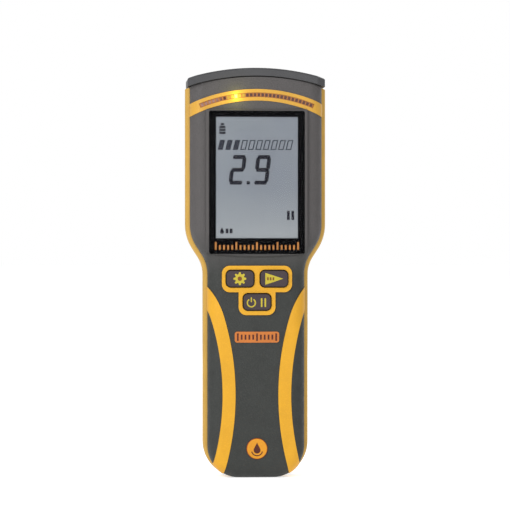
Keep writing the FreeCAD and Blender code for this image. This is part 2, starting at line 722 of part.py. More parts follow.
def make_cap():
    """Cap over the probe port, with two guide pegs, and the gasket below it."""
    left, right = "-CapHalf", "CapHalf"
    low = "(CaseCrown + GasketThick)"
    cap = slab("cap_plate", (
        (right, f"CrownCentre + sqrt({low}^2 - CapHalf^2)"),
        (right, "CrownCentre + sqrt(CapCrown^2 - CapHalf^2)", "CapCrown"),
        (left, "CrownCentre + sqrt(CapCrown^2 - CapHalf^2)"),
        (left, f"CrownCentre + sqrt({low}^2 - CapHalf^2)", f"-{low}"),
    ), "-(FaceDepth + CapLip)", "BackDepth + CapLip")
    round_edges(cap, "CapFacet", lambda bounds: bounds.XLength < 0.01 and bounds.YLength < 0.01, "Chamfer")
    top = value("CrownCentre + sqrt(CapCrown^2 - CapHalf^2)") - 0.01
    round_edges(cap, "1.1", lambda bounds: bounds.ZMin > top)
    pegs = [rod(f"cap_peg_{side}", "z", (f"{side} * PegSpread", "PortAxis", "CaseCrown + CrownCentre - 7"),
                "PegRound", "8") for side in (-1, 1)]
    keep(fuse("top_cap", cap, *pegs))
    sheet = slab("gasket_sheet", (
        (right, "CrownCentre + sqrt(CaseCrown^2 - CapHalf^2)"),
        (right, f"CrownCentre + sqrt({low}^2 - CapHalf^2)", low),
        (left, f"CrownCentre + sqrt({low}^2 - CapHalf^2)"),
        (left, "CrownCentre + sqrt(CaseCrown^2 - CapHalf^2)", "-CaseCrown"),
    ), "-FaceDepth", "BackDepth")
    plan = column("gasket_plan", oblong("0", "(BackDepth - FaceDepth) / 2", "HeadHalf - BandProud - 0.8",
                                        "(BackDepth + FaceDepth) / 2 - 0.8", "5.5"), "180", "205")
    gasket = common("gasket_plate", sheet, plan)
    holes = [rod(f"gasket_peg_hole_{side}", "z", (f"{side} * PegSpread", "PortAxis", "180"),
                 "PegRound + 0.25", "30") for side in (-1, 1)]
    holes.append(rod("gasket_port_hole", "z", ("0", "PortAxis", "180"), "PortRound + 0.4", "30"))
    keep(cut("cap_gasket", gasket, *holes))


# -------------------------------------------------------------------- display

def make_display():
    """Lens, printed mask, liquid-crystal glass, light guide, holder and rubber connector."""
    lens_face = "(FaceDepth + PodRise + LensProud)"
    middle, half = "(LensLow + LensHigh) / 2", "(LensHigh - LensLow) / 2"
    lens = slab("lens", oblong("0", middle, "LensHalf", half, "1"), f"-{lens_face}",
                f"-({lens_face} - LensThick)")
    front = -value(lens_face) + 0.01
    keep(round_edges(lens, "0.3", lambda bounds: bounds.YMax < front, "Chamfer"), "display_lens")
    mask_front, mask_back = f"-({lens_face} - LensThick)", f"-({lens_face} - LensThick - MaskThick)"
    sheet = slab("mask_sheet", oblong("0", middle, "LensHalf - 0.1", f"{half} - 0.1", "0.9"),
                 mask_front, mask_back)
    window = box("mask_window", ("-ViewHalf", "-(FaceDepth + 5)", "ViewLow"),
                 ("ViewHalf", "0", "ViewHigh"))
    keep(cut("display_mask", sheet, window))
    glass_front = f"({lens_face} - LensThick - MaskThick - 0.05)"
    keep(box("lcd_glass", ("-GlassHalf", f"-{glass_front}", "GlassLow"),
             ("GlassHalf", f"-({glass_front} - GlassThick)", "GlassHigh")), "lcd_panel")
    guide_front = f"({glass_front} - GlassThick - 0.1)"
    guide_back = f"({guide_front} - GuideThick)"
    keep(box("backlight_plate", ("-(GlassHalf - 0.5)", f"-{guide_front}", "GlassLow + 2.8"),
             ("GlassHalf - 0.5", f"-{guide_back}", "GlassHigh - 0.2")), "lcd_backlight")
    tray = box("holder_block", ("-(GlassHalf + 0.4)", "-10.4", "GlassLow - 0.1"),
               ("GlassHalf + 0.4", f"-({guide_back} - 1)", "GlassHigh + 1.2"))
    pocket = box("holder_pocket", ("-(GlassHalf - 0.3)", "-11", "GlassLow + 2.6"),
                 ("GlassHalf - 0.3", f"-({guide_back} - 0.05)", "GlassHigh"))
    slot = box("holder_slot", ("-(GlassHalf - 1.5)", "-11", "GlassLow + 0.4"),
               ("GlassHalf - 1.5", "-7", "GlassLow + 2.4"))
    keep(cut("lcd_holder", tray, pocket, slot))
    keep(box("zebra_strip", ("-(GlassHalf - 2)", f"-({glass_front} - GlassThick)", "GlassLow + 0.6"),
             ("GlassHalf - 2", "-BoardFront", "GlassLow + 2.2")), "lcd_connector")


# ------------------------------------------------------------ scale of lights

def around_arch(name, turn, low, high, half_wide, front, back):
    """Block standing on a radius of the arch, turned from straight up, between two depths."""
    block = DOC.addObject("Part::Box", name)
    bind(block, "Length", f"2 * {half_wide}")
    bind(block, "Width", f"({back}) - ({front})")
    bind(block, "Height", f"({high}) - ({low})")
    swing = FreeCAD.Rotation(FreeCAD.Vector(0, 1, 0), turn)
    corner = swing.multVec(FreeCAD.Vector(-value(half_wide), value(front), value(low)))
    block.Placement = FreeCAD.Placement(corner + FreeCAD.Vector(0, 0, value("ArchCentre")), swing)
    return block


def scale_turns():
    """Angle of each light on the arch, from left to right."""
    count = int(value("ScaleCount"))
    pitch = value("ScaleSpread") / count
    return [(index - (count - 1) / 2) * pitch for index in range(count)]


def make_scale(skins):
    """Dark strip with its row of windows, the light guide whose teeth fill them, and the lights."""
    strip = slab("scale_strip", sector("ArchRadius - SlotWide / 2 + 0.03", "ArchRadius + SlotWide / 2 - 0.03",
                                       "ScaleSpread / 2 + 0.35"),
                 "-(FaceDepth + 3)", "-(BandWide / 2)", ("0", "ArchCentre"))
    follows = cut("scale_strip_skin", common("scale_strip_outer", strip, skins["face"]), skins["inside"])
    windows, teeth, lights = [], [], []
    for index, turn in enumerate(scale_turns()):
        windows.append(around_arch(f"window_{index}", turn, "ArchRadius - 0.78", "ArchRadius + 0.78",
                                   "0.66", "-(FaceDepth + 3)", "-8"))
        teeth.append(around_arch(f"tooth_{index}", turn, "ArchRadius - 0.74", "ArchRadius + 0.74",
                                 "0.62", "-(FaceDepth + 3)", "-ToothEnd"))
        lights.append(around_arch(f"light_{index}", turn, "ArchRadius - 0.4", "ArchRadius + 0.4",
                                  "0.5", "-(BoardFront + 0.9)", "-BoardFront"))
    keep(cut("scale_mask", follows, group("scale_windows", windows)))
    bar = slab("guide_bar", sector("ArchRadius - 1.3", "ArchRadius + 1.3", "ScaleSpread / 2 + 0.1"),
               "-GuideFront", "-GuideBack", ("0", "ArchCentre"))
    in_face = common("guide_teeth", group("teeth", teeth), skins["face"])
    keep(fuse("scale_light_guide", bar, in_face))
    keep(group("scale_leds", lights))


# ----------------------------------------------------------------------- keys

def make_keys():
    """Three keys with their skirts and stems, the silicone sheet and the switches."""
    top = "-(FaceDepth + PadProud + KeyProud)"
    skirt_front, skirt_back, stem_end = "-SkirtFront", "-SkirtBack", "-StemEnd"
    edge = value(top) + 0.01
    switches = []
    holes = []
    for name, (x, level) in zip(("key_settings", "key_reference", "key_power"), key_places()):
        body = slab(name + "_cap", key_outline(x, level, "0"), top, skirt_front)
        round_edges(body, "0.7", lambda bounds: bounds.YMax < edge)
        skirt = slab(name + "_skirt", key_outline(x, level, "0.7"), skirt_front, skirt_back)
        stem = rod(name + "_stem", "y", (x, skirt_back, level), "2", f"{stem_end} - ({skirt_back})")
        keep(fuse(name, body, skirt, stem))
        holes.append(rod(name + "_mat_hole", "y", (x, "-12", level), "2.6", "6"))
        can = box(name + "_can", (f"{x} - 3", "-(BoardFront + 0.9)", f"{level} - 3"),
                  (f"{x} + 3", "-BoardFront", f"{level} + 3"))
        dome = rod(name + "_dome", "y", (x, "-(BoardFront + 1.25)", level), "1.6", "0.5")
        switches.append(fuse(name + "_switch", can, dome))
    sheet = slab("mat_sheet", oblong("0", "93.6", "15.5", "12", "3"), "-MatFront", "-MatBack")
    keep(cut("keypad_mat", sheet, *holes))
    keep(group("key_switches", switches))


# ---------------------------------------------------------------- electronics

def make_electronics():
    """Circuit board with its parts, the screws that hold it and the sounder."""
    front, back = "-BoardFront", "-(BoardFront - BoardThick)"
    blank = slab("board_blank", (
        ("-14.8", "80"), ("14.8", "80"), ("14.8", "104.5"), ("23.2", "112.5"), ("23.2", "176"),
        ("29", "176"), ("29", "191"), ("-29", "191"), ("-29", "176"), ("-23.2", "176"),
        ("-23.2", "112.5"), ("-14.8", "104.5"),
    ), front, back)
    holes = [rod(f"board_hole_{index}", "y", (x, "-12", z), "0.95", "10")
             for index, (x, z) in enumerate(BOARD_SCREWS)]
    keep(cut("main_pcb", blank, *holes))
    screws = []
    for index, (x, z) in enumerate(BOARD_SCREWS):
        shaft = rod(f"board_shaft_{index}", "y", (x, "-(BoardFront + 2.5)", z), "0.78", "4.1")
        head = rod(f"board_head_{index}", "y", (x, back, z), "1.7", "1.2")
        slot = box(f"board_slot_{index}", (f"{x} - 2", f"{back} + 0.7", f"{z} - 0.25"),
                   (f"{x} + 2", f"{back} + 2", f"{z} + 0.25"))
        screws.append(cut(f"board_screw_{index}", fuse(f"board_blank_{index}", shaft, head), slot))
    keep(group("pcb_screws", screws))
    keep(box("chip", ("-6", back, "115"), ("6", f"{back} + 1.4", "127")), "microcontroller")
    parts = [box(f"component_{index}", (x, back, z), (f"{x} + {wide}", f"{back} + {tall}", f"{z} + {long}"))
             for index, (x, z, wide, long, tall) in enumerate((
                 (-20, 118, 7, 5, 1.2), (-20, 130, 4, 8, 1.6), (12, 116, 6, 6, 2.2), (14, 128, 5, 4, 1.1),
                 (-19, 166, 6, 9, 1.8), (-8, 168, 5, 5, 1.2), (-11, 94, 8, 6, 1.8), (3, 92, 5, 8, 1.1),
                 (-24, 182, 10, 5, 1.2), (14, 182, 10, 5, 1.2)))]
    keep(group("pcb_components", parts))
    sounder = rod("sounder_can", "y", ("14", back, "169"), "6", "3")
    vent = rod("sounder_vent", "y", ("14", f"{back} + 2", "169"), "1", "2")
    keep(cut("piezo_buzzer", sounder, vent))


# --------------------------------------------------------------------- sensor

def make_sensor():
    """Domed sensor head on the back: dome, electrode, guard ring, post and sprung contact pin."""
    foot = "(BackDepth + 1.5)"
    ball = "((DomeRadius^2 + DomeRise^2) / (2 * DomeRise))"
    centre = f"({foot} + DomeRise - {ball})"
    inner_edge = "(DomeRadius - DomeWall)"
    inner_ball = f"({ball} - DomeWall)"
    flange_in, flange_out = "(BackDepth - Wall - 1.55)", "(BackDepth - Wall - 0.05)"
    keep(turned("dome", (
        (inner_edge, flange_in), ("DomeRadius + 2.2", flange_in), ("DomeRadius + 2.2", flange_out),
        ("DomeRadius", flange_out), ("DomeRadius", foot, ball), ("0", f"{foot} + DomeRise"),
        ("0", f"{centre} + {inner_ball}", f"-{inner_ball}"),
        (inner_edge, f"{centre} + sqrt({inner_ball}^2 - {inner_edge}^2)"),
    ), "0", "DomeLevel"), "sensor_dome")

    def shell_band(name, start, end, outer, thick):
        """Part of a ball's wall between two distances from the dome's axis."""
        inner = f"({outer} - {thick})"

        def depth(radius, reach):
            return f"{centre} + sqrt({radius}^2 - ({reach})^2)"

        return turned(name, (
            (start, depth(inner, start), f"-{inner}"), (end, depth(inner, end)),
            (end, depth(outer, end), outer), (start, depth(outer, start)),
        ), "0", "DomeLevel")

    electrode_ball = f"({ball} - DomeWall - 0.2)"
    keep(shell_band("electrode", "0", "10", electrode_ball, "0.8"), "sensor_electrode")
    keep(shell_band("guard", "12.5", "17", electrode_ball, "0.8"), "sensor_guard_ring")
    seat = f"({centre} + sqrt(({electrode_ball} - 0.8)^2 - 9.5^2) - 0.1)"
    back = "-(BoardFront - BoardThick)"
    post = rod("post_outside", "y", ("0", back, "DomeLevel"), "9.5", f"{seat} - ({back})")
    bore = rod("post_bore", "y", ("0", f"{back} - 1", "DomeLevel"), "8", "50")
    keep(cut("sensor_post", post, bore))
    tip = f"({centre} + {electrode_ball} - 0.9)"
    barrel = rod("contact_barrel", "y", ("0", f"{back} + 0.05", "DomeLevel"), "1.2", "8")
    plunger = rod("contact_plunger", "y", ("0", f"{back} + 7", "DomeLevel"), "0.7",
                  f"{tip} - ({back}) - 7.05")
    keep(fuse("sensor_contact", barrel, plunger))


def make_port():
    """Socket for a plug-in humidity probe and its four contacts."""
    top = "(CaseCrown + CrownCentre - 0.4)"
    tube = rod("port_tube", "z", ("0", "PortAxis", f"{top} - PortDeep - 4"), "PortRound", "PortDeep + 4")
    bore = rod("port_bore", "z", ("0", "PortAxis", f"{top} - PortDeep"), "PortBore", "PortDeep + 1")
    contacts, ways = [], []
    for index in range(4):
        x = f"{math.copysign(1.3, index % 2 - 0.5)}"
        y = f"PortAxis + {math.copysign(1.3, index // 2 - 0.5)}"
        contacts.append(rod(f"contact_{index}", "z", (x, y, f"{top} - PortDeep - 6.5"), "0.45", "6.45"))
        ways.append(rod(f"contact_way_{index}", "z", (x, y, f"{top} - PortDeep - 6"), "0.45", "7"))
    keep(cut("probe_socket", tube, bore, *ways))
    keep(group("probe_contacts", contacts))


# ---------------------------------------------------------------------- power

def make_power():
    """Two cells with their springs and plates, and the door with its hinge pin, seal and screw."""
    for side, name in ((-1, "battery_left"), (1, "battery_right")):
        can = rod(name + "_can", "z", (f"{side} * CellSpread", "CellAxis", "CellFoot"), "CellRadius",
                  "CellLong")
        nub_foot = "CellFoot + CellLong - 0.2" if side < 0 else "CellFoot - 1.2"
        nub = rod(name + "_nub", "z", (f"{side} * CellSpread", "CellAxis", nub_foot), "2.7", "1.4")
        keep(fuse(name, can, nub))
    low, high = "CellFoot", "CellFoot + CellLong"
    springs = [leaf("cell_spring_left", "-CellSpread", "BayLow + 0.65", f"{low} - 0.05", "0.35", "75", "5"),
               leaf("cell_spring_right", "CellSpread", f"{high} + 0.05", "BayHigh - 0.75", "0.3", "35", "5")]
    keep(group("battery_springs", springs))
    link = box("link_plate", ("-14", "0", "BayLow"), ("14", "8.4", "BayLow + 0.6"))
    button = rod("link_button", "z", ("CellSpread", "CellAxis", "BayLow + 0.3"), "2.9",
                 "CellFoot - 1.2 - BayLow - 0.3")
    keep(fuse("battery_link", link, button))
    plates = []
    for side, name in ((-1, "left"), (1, "right")):
        x = f"{side} * CellSpread"
        plate = box(f"{name}_plate", (f"{x} - 5", "-2", "BayHigh - 0.7"), (f"{x} + 5", "9", "BayHigh"))
        tab = box(f"{name}_tab", (f"{x} - 1", "-(BoardFront - BoardThick)", "BayHigh - 0.7"),
                  (f"{x} + 1", "-1", "BayHigh - 0.1"))
        pieces = [plate, tab]
        if side < 0:
            pieces.append(rod("plus_button", "z", (x, "CellAxis", f"{high} + 1.2"), "2.5",
                              f"BayHigh - 0.5 - ({high}) - 1.2"))
        plates.append(fuse(f"{name}_terminal", *pieces))
    keep(group("battery_terminals", plates))
    make_door()


def make_door():
    """Door over the cells: plate, rolled hinge edge and screw boss, with pin, seal, insert and screw."""
    outer, inner = "BackDepth", "(BackDepth - DoorThick)"
    plate = slab("door_plate", (
        ("-DoorHalf", "HingeLevel"), ("DoorHalf", "HingeLevel"),
        ("DoorHalf", "DoorTop - 2", "2"), ("DoorHalf - 2", "DoorTop"),
        ("-(DoorHalf - 2)", "DoorTop", "2"), ("-DoorHalf", "DoorTop - 2"),
    ), inner, outer)
    knuckle = rod("door_knuckle", "x", ("-DoorHalf", "HingeDepth", "HingeLevel"), "HingeRound",
                  "2 * DoorHalf")
    boss = rod("door_boss", "y", ("0", "TrayDepth + 1", "LockLevel"), "3.4",
               f"{inner} - TrayDepth - 0.5")
    ribs = [rod(f"door_rib_{index}", "x", ("-9", f"{outer} - 0.25", f"LockLevel - {12 + 3 * index}"), "0.7",
                "18") for index in range(4)]
    bore = rod("door_bore", "x", ("-DoorHalf - 1", "HingeDepth", "HingeLevel"), "HingePin + 0.06",
               "2 * DoorHalf + 2")
    way = rod("door_screw_way", "y", ("0", "0", "LockLevel"), "1.75", "20")
    seat = rod("door_screw_seat", "y", ("0", f"{outer} - 1.9", "LockLevel"), "3.75", "4")
    keep(cut("battery_door", fuse("door_solid", plate, knuckle, boss, *ribs), bore, way, seat))
    keep(rod("hinge_pin", "x", ("-(DoorHalf + 3.5)", "HingeDepth", "HingeLevel"), "HingePin",
             "2 * (DoorHalf + 3.5)"))
    head = rod("lock_head", "y", ("0", f"{outer} - 1.85", "LockLevel"), "3.5", "1.65")
    shaft = rod("lock_shaft", "y", ("0", "5.2", "LockLevel"), "1.5", f"{outer} - 1.8 - 5.2")
    slot = box("lock_slot", ("-4", f"{outer} - 1.1", "LockLevel - 0.6"),
               ("4", f"{outer} + 1", "LockLevel + 0.6"))
    keep(cut("door_screw", fuse("lock_blank", head, shaft), slot))
    sleeve = rod("insert_sleeve", "y", ("0", "4.4", "LockLevel"), "2.9", "TrayDepth - 4.5")
    hole = rod("insert_bore", "y", ("0", "4", "LockLevel"), "2.1", "8")
    keep(cut("latch_insert", sleeve, hole))
    seal_out = slab("door_seal_outside", oblong("0", "(BayLow + DoorTop) / 2 + 2.6", "DoorHalf",
                                                "(DoorTop - BayLow) / 2 - 2.6", "2"),
                    "LedgeDepth", "LedgeDepth + 0.6")
    seal_in = slab("door_seal_inside", oblong("0", "(BayLow + DoorTop) / 2 + 2.6", "BayHalf + 0.1",
                                              "(DoorTop - BayLow) / 2 - 2.6 - (DoorHalf - BayHalf) + 0.1", "1"),
                   "LedgeDepth - 1", "LedgeDepth + 2")
    keep(cut("door_seal", seal_out, seal_in))


# ------------------------------------------------------------------ fasteners

def make_case_screws():
    """Six cross-recess screws driven from the back into the front shell's posts."""
    screws = []
    for index, (x, z) in enumerate(CASE_SCREWS):
        shaft = rod(f"case_shaft_{index}", "y", (x, "-8.5", z), "ScrewRound - 0.02", "HeadSeat + 8.6")
        head = rod(f"case_head_{index}", "y", (x, "HeadSeat", z), "ScrewHead", "1.9")
        across = box(f"case_recess_{index}", (f"{x} - 1.5", "HeadSeat + 0.8", f"{z} - 0.35"),
                     (f"{x} + 1.5", "HeadSeat + 4", f"{z} + 0.35"))
        upright = box(f"case_recess_up_{index}", (f"{x} - 0.35", "HeadSeat + 0.8", f"{z} - 1.5"),
                      (f"{x} + 0.35", "HeadSeat + 4", f"{z} + 1.5"))
        screws.append(cut(f"case_screw_{index}", fuse(f"case_blank_{index}", shaft, head), across, upright))
    keep(group("case_screws", screws))


# ---------------------------------------------------------------------- build

def build():
    """Make every sub-part."""
    skins = make_skins()
    trim = make_trim(skins)
    band = make_band()
    make_front_shell(skins, trim, band)
    make_rear_shell()
    keep(seal_ring("case_seal", "0"))
    make_cap()
    make_display()
    make_scale(skins)
    make_keys()
    make_electronics()
    make_sensor()
    make_port()
    make_power()
    make_case_screws()


def check():
    """Stop if any object failed or any finished sub-part is empty or not valid."""
    for item in DOC.Objects:
        if {"Invalid", "Error"} & set(item.State):
            raise RuntimeError(f"{item.Name} failed to recompute: {item.State}")
    for name, item in KEPT.items():
        if item.Shape.isNull() or not item.Shape.isValid() or not item.Shape.Solids:
            raise RuntimeError(f"{name} has no valid solid")


def write():
    """One STEP file for each sub-part."""
    os.makedirs("parts", exist_ok=True)
    for name, item in KEPT.items():
        item.Shape.exportStep(f"parts/{name}.step")
        print(name, len(item.Shape.Solids), round(item.Shape.Volume, 1))


build()
DOC.recompute()
check()
write()
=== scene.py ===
"""Looks of the moisture meter: materials for every part, display, legends, light scale and studio."""
import json
import math

import bmesh
import bpy
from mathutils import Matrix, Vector


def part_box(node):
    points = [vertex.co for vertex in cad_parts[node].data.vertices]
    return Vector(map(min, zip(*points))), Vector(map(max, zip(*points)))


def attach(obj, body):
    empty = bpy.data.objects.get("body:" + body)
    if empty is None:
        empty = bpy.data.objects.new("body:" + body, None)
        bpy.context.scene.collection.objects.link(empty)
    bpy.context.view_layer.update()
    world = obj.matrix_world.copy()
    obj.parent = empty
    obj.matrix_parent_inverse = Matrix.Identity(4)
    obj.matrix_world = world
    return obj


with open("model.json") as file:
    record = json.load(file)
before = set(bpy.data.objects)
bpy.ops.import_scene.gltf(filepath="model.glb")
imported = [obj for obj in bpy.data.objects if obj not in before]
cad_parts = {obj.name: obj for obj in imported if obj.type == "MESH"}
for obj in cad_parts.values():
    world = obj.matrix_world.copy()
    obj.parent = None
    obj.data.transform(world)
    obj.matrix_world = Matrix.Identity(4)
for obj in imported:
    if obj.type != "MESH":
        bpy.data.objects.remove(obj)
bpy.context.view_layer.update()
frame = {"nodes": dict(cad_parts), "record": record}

MM = 0.001
INK = 0.05            # how far printed marks stand out, mm
THIN_INK = INK * 0.8  # the same for the figures on the display
LEGEND_INK = INK * 0.6
CROWN = 300.0         # radius of the face's crown across the case, mm
FACE = -14.0          # Y of the face on the middle line, mm

FIGURE_WIDE, FIGURE_TALL, FIGURE_THICK, FIGURE_SLANT = 7.4, 14.6, 1.95, 0.13
FIGURE_FOOT = 145.2   # height of the reading's lower edge
WINDOW_FOOT, WINDOW_TOP = 118.7, 178.7
BAR_ROW, BAR_TALL, BAR_SLANT = 164.8, 4.9, 0.25

ARCH_LEVEL, ARCH_RADIUS = 114.1, 75.5   # height of the light scale's centre, and its radius
WINDOW_TURN = 1.44                      # degrees between two lights
MIDDLE_LIGHT = 14.5                     # number of the light that would lie on the middle line
LIT_LIGHT = 9

AIM = Vector((0, 0, 0.1104))
CAMERA_DISTANCE, CAMERA_AZIMUTH = 1.2, math.radians(-4.0)
FACE_AHEAD = 0.012    # how far the face lies in front of AIM, m
VIEW_WIDE = 0.2525    # width of the view at the face, m
SENSOR = 36.0


def low_high(node):
    """Lowest and highest corner of a CAD node, in mm."""
    low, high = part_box(node)
    return [c / MM for c in low], [c / MM for c in high]


def tint(red, green, blue):
    """Linear colour from the eight-bit values of a paint."""
    def linear(value):
        part = value / 255
        return part / 12.92 if part <= 0.04045 else ((part + 0.055) / 1.055) ** 2.4
    return linear(red), linear(green), linear(blue), 1.0


# ------------------------------------------------------------------ materials

def start_material(name):
    """New node material: (material, tree, principled shader, texture coordinates)."""
    material = bpy.data.materials.new(name)
    material.use_nodes = True
    tree = material.node_tree
    shader = tree.nodes["Principled BSDF"]
    place = tree.nodes.new("ShaderNodeTexCoord")
    return material, tree, shader, place


def noise(tree, place, scale, detail=3.0):
    """Noise over the object's own coordinates, scale in cells per metre."""
    node = tree.nodes.new("ShaderNodeTexNoise")
    node.inputs["Scale"].default_value = scale
    node.inputs["Detail"].default_value = detail
    tree.links.new(place.outputs["Object"], node.inputs["Vector"])
    return node.outputs["Fac"]


def spread(tree, source, low, high, start=0.3, end=0.7):
    """Source mapped from start..end to low..high."""
    node = tree.nodes.new("ShaderNodeMapRange")
    for socket, number in zip(("From Min", "From Max", "To Min", "To Max"), (start, end, low, high)):
        node.inputs[socket].default_value = number
    tree.links.new(source, node.inputs["Value"])
    return node.outputs["Result"]


def blend(tree, factor, first, second):
    """Colour mixed by factor; first and second are colours or sockets."""
    node = tree.nodes.new("ShaderNodeMix")
    node.data_type = "RGBA"
    tree.links.new(factor, node.inputs["Factor"])
    for socket, colour in ((node.inputs[6], first), (node.inputs[7], second)):
        if isinstance(colour, tuple):
            socket.default_value = colour
        else:
            tree.links.new(colour, socket)
    return node.outputs[2]


def scaled(colour, factor):
    """Colour made lighter or darker."""
    return tuple(min(c * factor, 1.0) for c in colour[:3]) + (1.0,)


def edge_mask(tree, radius):
    """1 along sharp edges and 0 elsewhere."""
    soft = tree.nodes.new("ShaderNodeBevel")
    soft.samples = 4
    soft.inputs["Radius"].default_value = radius
    true = tree.nodes.new("ShaderNodeNewGeometry")
    dot = tree.nodes.new("ShaderNodeVectorMath")
    dot.operation = "DOT_PRODUCT"
    tree.links.new(soft.outputs["Normal"], dot.inputs[0])
    tree.links.new(true.outputs["Normal"], dot.inputs[1])
    return spread(tree, dot.outputs["Value"], 1.0, 0.0, 0.80, 0.99)


def turned_away_shade_mask(tree):
    """1 where a surface turns away from the front, 0 where it faces it; it places painted shade."""
    true = tree.nodes.new("ShaderNodeNewGeometry")
    split = tree.nodes.new("ShaderNodeSeparateXYZ")
    tree.links.new(true.outputs["Normal"], split.inputs["Vector"])
    return spread(tree, split.outputs["Y"], 0.0, 1.0, -0.99, -0.85)


def relief(tree, shader, height, depth):
    """Bump of a given depth in metres."""
    bump = tree.nodes.new("ShaderNodeBump")
    bump.inputs["Strength"].default_value = 1.0
    bump.inputs["Distance"].default_value = depth
    tree.links.new(height, bump.inputs["Height"])
    tree.links.new(bump.outputs["Normal"], shader.inputs["Normal"])


def moulded(name, colour, rough=0.5, grain=2600.0, depth=2e-5, vary=0.08, wear=0.0, pebble=0.0,
            second=None, levels=None, coat=0.0, specular=0.3, painted_shade_rim=None, speck=0.15):
    """Moulded plastic or rubber: fine grain, cloudy colour, uneven gloss and pale worn edges.

    second with levels turns the colour to another one between two heights, in mm.
    Rounded edges that turn away from the front can be darkened to a given colour: painted shade."""
    material, tree, shader, place = start_material(name)
    clouds = noise(tree, place, 90.0, 4.0)
    base = blend(tree, spread(tree, clouds, 0.0, 1.0), scaled(colour, 1 - vary), scaled(colour, 1 + vary))
    if second:
        split = tree.nodes.new("ShaderNodeSeparateXYZ")
        tree.links.new(place.outputs["Object"], split.inputs["Vector"])
        up = spread(tree, split.outputs["Z"], 0.0, 1.0, levels[0] * MM, levels[1] * MM)
        base = blend(tree, up, base, second)
    specks = noise(tree, place, 1900.0, 2.0)
    base = blend(tree, spread(tree, specks, 0.0, speck, 0.52, 0.72), base, scaled(colour, 1.7))
    if wear:
        scuffs = noise(tree, place, 420.0, 5.0)
        ragged = tree.nodes.new("ShaderNodeMath")
        ragged.operation = "MULTIPLY"
        tree.links.new(edge_mask(tree, 4e-4), ragged.inputs[0])
        tree.links.new(spread(tree, scuffs, 0.0, wear, 0.42, 0.65), ragged.inputs[1])
        base = blend(tree, ragged.outputs["Value"], base, scaled(colour, 2.2))
    # Painted shade: edges turning away from the front are darkened to the given colour.
    if painted_shade_rim:
        base = blend(tree, turned_away_shade_mask(tree), base, painted_shade_rim)
    tree.links.new(base, shader.inputs["Base Color"])
    tree.links.new(spread(tree, noise(tree, place, 240.0, 5.0), rough - 0.07, rough + 0.07),
                   shader.inputs["Roughness"])
    height = noise(tree, place, grain, 3.0)
    if pebble:
        cells = tree.nodes.new("ShaderNodeTexVoronoi")
        cells.inputs["Scale"].default_value = pebble
        tree.links.new(place.outputs["Object"], cells.inputs["Vector"])
        add = tree.nodes.new("ShaderNodeMath")
        add.operation = "ADD"
        tree.links.new(cells.outputs["Distance"], add.inputs[0])
        tree.links.new(height, add.inputs[1])
        height = add.outputs["Value"]
    relief(tree, shader, height, depth)
    shader.inputs["Specular IOR Level"].default_value = specular
    shader.inputs["Coat Weight"].default_value = coat
    shader.inputs["Coat Roughness"].default_value = 0.12
    return material


def metal(name, colour, rough=0.3, grain=1500.0, depth=4e-6):
    """Metal with faint tooling marks and cloudy tarnish."""
    material, tree, shader, place = start_material(name)
    tarnish = noise(tree, place, 350.0, 5.0)
    tree.links.new(blend(tree, spread(tree, tarnish, 0.0, 1.0), scaled(colour, 0.78), colour),
                   shader.inputs["Base Color"])
    tree.links.new(spread(tree, noise(tree, place, 700.0, 4.0), rough - 0.08, rough + 0.12),
                   shader.inputs["Roughness"])
    shader.inputs["Metallic"].default_value = 1.0
    relief(tree, shader, noise(tree, place, grain, 2.0), depth)
    return material


def clear(name):
    """Clear glossy window, faintly tinted, with hairline scuffs."""
    material, tree, shader, place = start_material(name)
    shader.inputs["Alpha"].default_value = 0.07
    shader.inputs["Specular IOR Level"].default_value = 0.6
    tree.links.new(spread(tree, noise(tree, place, 500.0, 6.0), 0.04, 0.12, 0.5, 0.8),
                   shader.inputs["Roughness"])
    tree.links.new(blend(tree, noise(tree, place, 60.0), tint(16, 18, 22), tint(24, 26, 32)),
                   shader.inputs["Base Color"])
    return material


def display_glass(name):
    """Liquid-crystal glass: blue-grey with a fine cell grid, painted paler at its foot and upper left as
    painted light.
    """
    material, tree, shader, place = start_material(name)
    low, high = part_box("lcd_panel")
    split = tree.nodes.new("ShaderNodeSeparateXYZ")
    tree.links.new(place.outputs["Object"], split.inputs["Vector"])
    # Painted light: the glass is painted paler towards its foot and towards its left side.
    up = spread(tree, split.outputs["Z"], 1.0, 0.0, low.z, low.z + 0.45 * (high.z - low.z))
    base = blend(tree, up, tint(116, 123, 133), tint(150, 155, 158))
    side = spread(tree, split.outputs["X"], 0.35, 0.0, low.x, 0.0)
    base = blend(tree, side, base, tint(138, 146, 152))
    base = blend(tree, spread(tree, noise(tree, place, 70.0, 3.0), 0.0, 0.35), base, tint(128, 134, 138))
    tree.links.new(base, shader.inputs["Base Color"])
    tree.links.new(spread(tree, noise(tree, place, 900.0, 2.0), 0.3, 0.42), shader.inputs["Roughness"])
    relief(tree, shader, noise(tree, place, 6000.0, 1.0), 2e-6)
    return material


def smoked_guide(name):
    """Smoked light guide of the scale, with a painted pinkish reflection that makes it paler towards the
    left end.
    """
    material, tree, shader, place = start_material(name)
    split = tree.nodes.new("ShaderNodeSeparateXYZ")
    tree.links.new(place.outputs["Object"], split.inputs["Vector"])
    # Painted reflection: paler and pinkish towards the left end.
    left = spread(tree, split.outputs["X"], 1.0, 0.0, -0.021, -0.016)
    base = blend(tree, left, tint(74, 32, 18), tint(150, 112, 100))
    base = blend(tree, spread(tree, noise(tree, place, 600.0), 0.0, 0.3), base, tint(40, 22, 18))
    tree.links.new(base, shader.inputs["Base Color"])
    tree.links.new(spread(tree, noise(tree, place, 500.0), 0.12, 0.25), shader.inputs["Roughness"])
    relief(tree, shader, noise(tree, place, 3000.0, 1.0), 3e-6)
    return material


